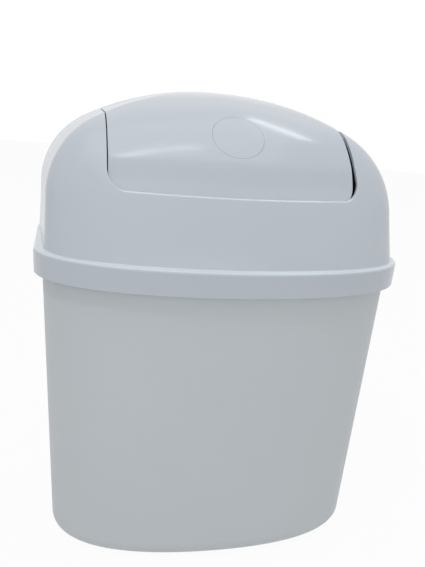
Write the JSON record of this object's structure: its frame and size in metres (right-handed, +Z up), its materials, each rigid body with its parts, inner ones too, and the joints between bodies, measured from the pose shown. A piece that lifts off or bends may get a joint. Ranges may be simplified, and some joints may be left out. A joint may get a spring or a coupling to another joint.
{
  "type": "wall-mounted swing-lid bin",
  "caption": "D-shaped plastic bucket that hangs on a wall plate, under a lift-off domed hood with a balanced swing flap in its front.",
  "frame": {"origin": "centre of the wall plate's back face, on the wall plane", "axes": "+Y into the wall, -Y out of the bin's front, +Z up, +X to the right seen from the front"},
  "size_m": [0.2694, 0.1656, 0.3374],
  "materials": {
    "wall_plate": "zinc-plated sheet",
    "bucket": "satin moulded, pale grey",
    "buffers": "matt black",
    "hood": "satin gloss moulded, pale blue-grey",
    "stop_pads": "matt black",
    "bushes": "natural",
    "flap": "satin gloss moulded, pale blue-grey",
    "flap_disc": "satin gloss, bare",
    "pins": "bright drawn",
    "counterweight": "bright drawn bar",
    "bar_clips": "zinc-plated"
  },
  "bodies": {
    "wall_plate": {"wall_plate": "wall_plate"},
    "bucket": {"bucket": "bucket", "wall_buffer_left": "buffers", "wall_buffer_right": "buffers"},
    "hood": {"hood": "hood", "stop_pad_left": "stop_pads", "stop_pad_right": "stop_pads", "pivot_bush_left": "bushes", "pivot_bush_right": "bushes"},
    "flap": {"flap": "flap", "flap_disc": "flap_disc", "pivot_pin_left": "pins", "pivot_pin_right": "pins", "counterweight_bar": "counterweight", "bar_clip_left": "bar_clips", "bar_clip_right": "bar_clips"}
  },
  "joints": [
    {"name": "bucket_lift", "type": "slide", "parent": "wall_plate", "child": "bucket", "axis": [0, 0, 1], "range_m": [0, 0.076]},
    {"name": "hood_lift", "type": "slide", "parent": "bucket", "child": "hood", "axis": [0, 0, 1], "range_m": [0, 0.12]},
    {"name": "flap_swing", "type": "hinge", "parent": "hood", "child": "flap", "pos_m": [0, -0.07499, 0.1505], "axis": [1, 0, 0], "range_deg": [0, 60]}
  ]
}
